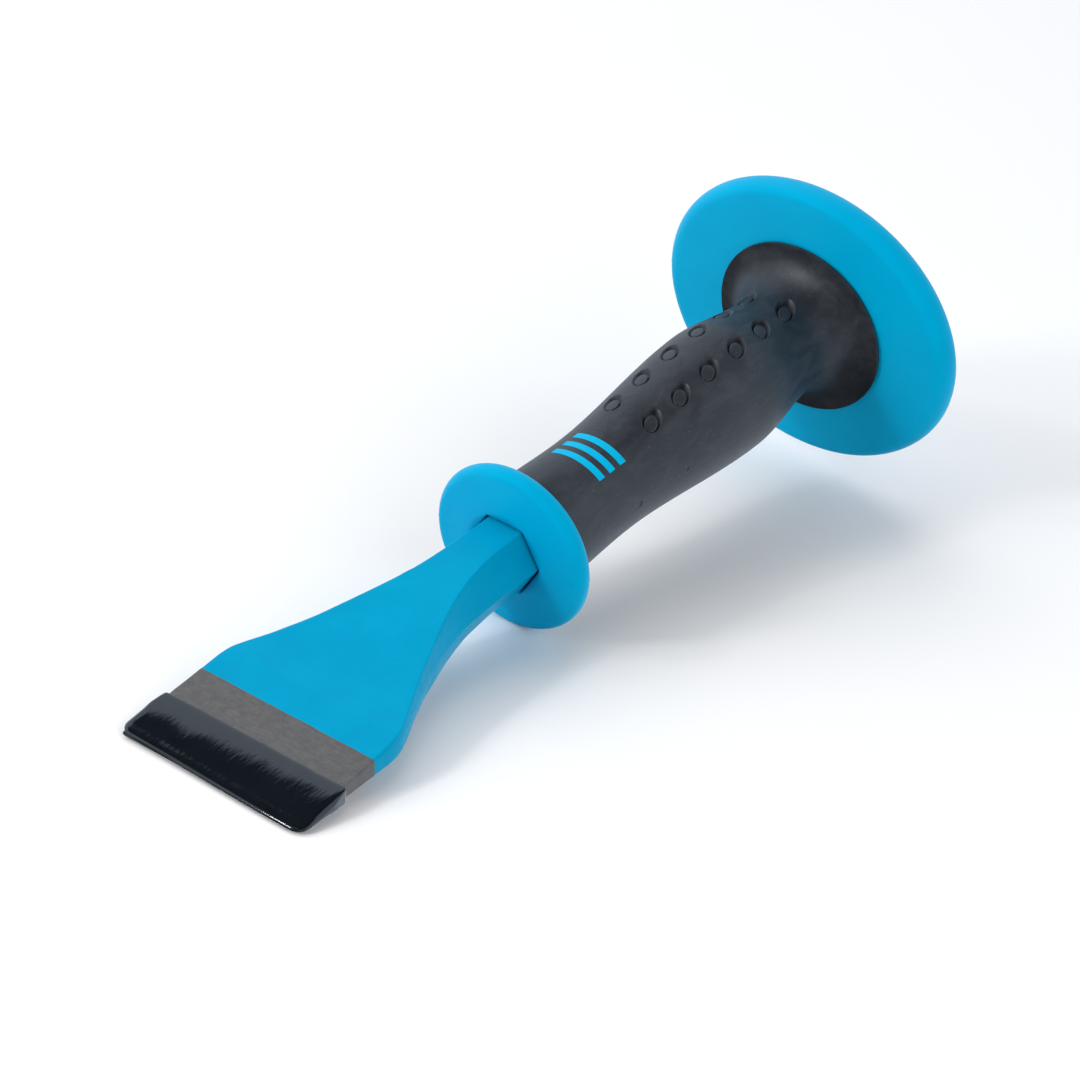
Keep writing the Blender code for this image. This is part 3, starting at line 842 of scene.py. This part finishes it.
def printed_bars():
    """Thin patches of ink that follow the grip."""
    points, faces = [], []
    across, along = 40, 5
    for station in BARS:
        for lift in (INK_ROOT, INK):
            for a in np.radians(np.linspace(BAR_FROM, BAR_TO, across)):
                for s in station + np.linspace(-BAR_HALF, BAR_HALF, along):
                    points.append(surface_point(s, a) + surface_normal(s, a) * lift)
    layer = across * along
    for bar in range(len(BARS)):
        low, high = bar * 2 * layer, bar * 2 * layer + layer
        for i in range(across - 1):
            for j in range(along - 1):
                a, b = i * along + j, i * along + j + 1
                c, d = (i + 1) * along + j + 1, (i + 1) * along + j
                faces.append((high + a, high + b, high + c, high + d))
                faces.append((low + d, low + c, low + b, low + a))
        loop = [i * along for i in range(across)]
        loop += [(across - 1) * along + j for j in range(1, along)]
        loop += [i * along + along - 1 for i in range(across - 2, -1, -1)]
        loop += list(range(along - 2, 0, -1))
        for a, b in zip(loop, loop[1:] + loop[:1]):
            faces.append((low + a, low + b, high + b, high + a))
    return make_piece("printed_bars", np.array(points), faces, [blue_ink()])


# ---- dipped coat over the edge ----
def dip_row(station, swell=1.0, back=0.0, nose=1.0, side_swell=1.0):
    """One cross-section of the coat: thicker on the sides, back = drawn in from them."""
    grown = smooth_step(DIP_STATION, DIP_STATION + 6.0, station)
    late = float(smooth_step(DIP_STATION, DIP_STATION + 9.0, station))
    corners = blade_corners(min(station, EDGE_STATION), DIP_GAP + DIP_THICKNESS * swell,
                            mix(DIP_EDGE_FACET, DIP_NOSE_FACET, late))
    flats = np.abs(corners[:, 0]) < np.abs(corners[:, 0]).max() - 0.01
    corners[:, 1] = np.where(flats, corners[:, 1], corners[:, 1] * mix(1.0, 0.5, late))
    side = np.where(corners[:, 0] > 0, mix(DIP_RIGHT_START, DIP_SIDE, grown),
                    mix(DIP_SIDE_START, DIP_SIDE, grown))
    corners[:, 0] += np.sign(corners[:, 0]) * (side * side_swell - DIP_THICKNESS * swell - back)
    corners[:, 1] *= nose
    outline = rounded(corners, mix(DIP_EDGE_ROUND, DIP_NOSE_ROUND, late))
    return np.column_stack([np.full(len(outline), station), outline])


def dip_swell(along):
    """Thickness of the coat on the faces, as a share: fullest before the middle, thin in front."""
    return 0.62 + 1.0 * along - 1.17 * along * along


def dip_coat():
    rows = [dip_row(DIP_STATION + forward, swell, side_swell=min(1.0, 1.6 * swell))
            for forward, swell in DIP_LIP]
    for station in np.arange(DIP_STATION + 4.3, DIP_END - DIP_CORNER - 0.3, 0.7):
        along = (station - DIP_STATION) / (DIP_END - DIP_CORNER - DIP_STATION)
        rows.append(dip_row(station, dip_swell(along)))
    for angle in np.radians([0, 10, 20, 30, 40, 49, 57, 65, 72, 78, 83, 87, 89.6]):
        station = DIP_END - DIP_CORNER * (1 - math.sin(angle))
        nose = math.sqrt(max(1 - max(0.0, (station - (DIP_END - DIP_NOSE)) / DIP_NOSE) ** 2, 0.0))
        rows.append(dip_row(station, dip_swell(1.0 + 0.1 * math.sin(angle)),
                            DIP_CORNER * (1 - math.cos(angle)), max(nose, 0.05)))
    grid = np.array(rows)
    normal = grid_normals(grid)
    where = grid[..., 0]
    body = smooth_step(DIP_STATION - 0.2, DIP_STATION + 1.2, where)
    body *= 1 - smooth_step(DIP_END - 1.6, DIP_END - 0.3, where)
    runs = noise_at(grid * (0.35, 1, 1), 1.7, 4.0).reshape(where.shape)
    swells = noise_at(grid, 9.0, 7.0).reshape(where.shape)
    grid = grid + normal * (body * (0.011 * runs + 0.03 * swells - 0.03))[..., None]
    # the front runs a little out of square, longer on the +across side
    front = smooth_step(DIP_STATION + 5.0, DIP_END, where)
    grid[..., 0] -= front * mix(DIP_SKEW, 0.0, smooth_step(-34.0, 30.0, grid[..., 1]))
    # the back edge wanders
    edge = 1 - smooth_step(DIP_STATION + 0.2, DIP_STATION + 3.0, where)
    lip = grid[3] * (0, 1, 1)
    drift = noise_at(lip, 9.0, 12.0) * 0.30 + noise_at(lip, 2.5, 15.0) * 0.10
    grid[..., 0] += edge * drift
    rows, count = where.shape
    inside = []
    for station in np.linspace(EDGE_STATION, DIP_STATION + 0.9, 12):
        outline = rounded(blade_corners(station, DIP_GAP * 0.6), 0.3)
        inside.append(np.column_stack([np.full(len(outline), station), outline]))
    whole = np.concatenate([grid[::-1], np.array(inside)[::-1]])
    faces = [tuple(reversed(f)) for f in ring_faces(len(whole), count)]
    last = (len(whole) - 1) * count
    faces += [tuple(range(count)), tuple(last + c for c in reversed(range(count)))]
    return make_piece("edge_dip", whole.reshape(-1, 3), faces, [dipped_plastic()], sharp=60.0)


def place(piece, node, slot):
    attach(piece, "root")
    if node:
        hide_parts(node)


place(forging(), "forged_chisel", "forged_chisel")
place(core(), "handle_core", "handle_core")
place(grip(), "grip_overmould", "grip_overmould")
place(dip_coat(), "edge_dip_coat", "edge_dip_coat")
place(printed_bars(), None, "forged_chisel")

# ---- floor, light, camera ----
floor_mesh = bpy.data.meshes.new("floor")
FLOOR_HALF = 30.0
floor_corners = [(FLOOR_HALF * x, FLOOR_HALF * y, 0) for x, y in ((-1, -1), (1, -1), (1, 1), (-1, 1))]
floor_mesh.from_pydata(floor_corners, [], [(0, 1, 2, 3)])
floor_mesh.materials.append(plain_floor())
floor = bpy.data.objects.new("floor", floor_mesh)
bpy.context.scene.collection.objects.link(floor)
floor.visible_glossy = False


def area_light(name, spot, size, power, colour=(1, 1, 1), glossy=True):
    light = bpy.data.lights.new(name, "AREA")
    light.shape = "DISK"
    light.size = size
    light.energy = power
    light.color = colour
    ob = bpy.data.objects.new(name, light)
    ob.location = spot
    ob.rotation_euler = Vector(spot).to_track_quat("Z", "Y").to_euler()
    ob.visible_glossy = glossy
    bpy.context.scene.collection.objects.link(ob)


WARM = (1.0, 0.965, 0.93)
area_light("key_light", (1.25, -0.85, 0.77), 1.3, 6.5, WARM, glossy=False)
area_light("glow_light", (1.36, -0.58, 0.82), 0.3, 6.2)
area_light("top_light", (-0.2, -0.7, 1.4), 1.9, 12.5, WARM, glossy=False)
area_light("right_light", (0.45, 1.45, 0.80), 1.4, 10.5, WARM, glossy=False)
area_light("spark_light", (0.99, -0.79, 1.09), 0.08, 1.5)

# a white backdrop behind the tool, up to about half way overhead, in a darker studio;
# what the camera sees directly of it is plain pale paper
DARK_STUDIO = (0.045, 0.050, 0.060)
BACKDROP = (0.80, 0.89, 1.0)
PAPER = (0.93, 0.935, 0.94)
BACKDROP_TOP = (0.812, 0.797)           # sine of the height where it ends, dark to full
BACKDROP_SIDES = (-0.75, -0.35)         # and how far round it reaches, dark to full
BEHIND_HIGH = (-0.835, -0.55, 0.0)      # its middle, above and below the horizon
BEHIND_LOW = (-0.94, 0.34, 0.0)
world = bpy.data.worlds.new("studio")
bpy.context.scene.world = world
world.use_nodes = True
sky = Graph(world.node_tree)
direction = sky.add("ShaderNodeTexCoord").outputs["Generated"]
height = sky.part(direction, "Z")
over = sky.span(height, -0.05, 0.05)
floor_shade = sky.span(height, -0.62, -0.45, -1.0, 0.0)
away_up = sky.dot(direction, BEHIND_HIGH)
away_down = sky.math("ADD", sky.dot(direction, BEHIND_LOW), floor_shade)
away = sky.add("ShaderNodeMix", {"Factor": over, 2: away_down, 3: away_up}, data_type="FLOAT")
behind = sky.span(away.outputs[0], *BACKDROP_SIDES, smooth=True)
below = sky.span(height, *BACKDROP_TOP)
studio = sky.mix(sky.math("MULTIPLY", behind, below), DARK_STUDIO, BACKDROP)
seen = sky.add("ShaderNodeLightPath").outputs["Is Camera Ray"]
background = world.node_tree.nodes["Background"]
world.node_tree.links.new(sky.mix(seen, studio, PAPER), background.inputs["Color"])
background.inputs["Strength"].default_value = 1.0

# the camera stands on the tool's own axes, millimetres, and looks a little rolled
CAMERA_SPOT = (935.82, 627.16, 799.47)
CAMERA_LENS = 166.19
LOOK = Vector((-0.62402, -0.48056, -0.61616)).normalized()
SIDE = Vector((-0.61788, 0.78617, 0.01261)).normalized()
OVER = SIDE.cross(LOOK)
turn = Matrix((SIDE, OVER, -LOOK)).transposed()
axes = Matrix((ALONG, ACROSS, UP)).transposed()
camera = bpy.data.objects.new("camera", bpy.data.cameras.new("camera"))
camera.matrix_world = Matrix.Translation(Vector(to_row([CAMERA_SPOT])[0])) @ (axes @ turn).to_4x4()
camera.data.sensor_width = 36.0
camera.data.lens = CAMERA_LENS
camera.data.clip_start = 0.05
camera.data.clip_end = 100.0
bpy.context.scene.collection.objects.link(camera)
bpy.context.scene.camera = camera
bpy.context.scene.view_settings.view_transform = "Standard"
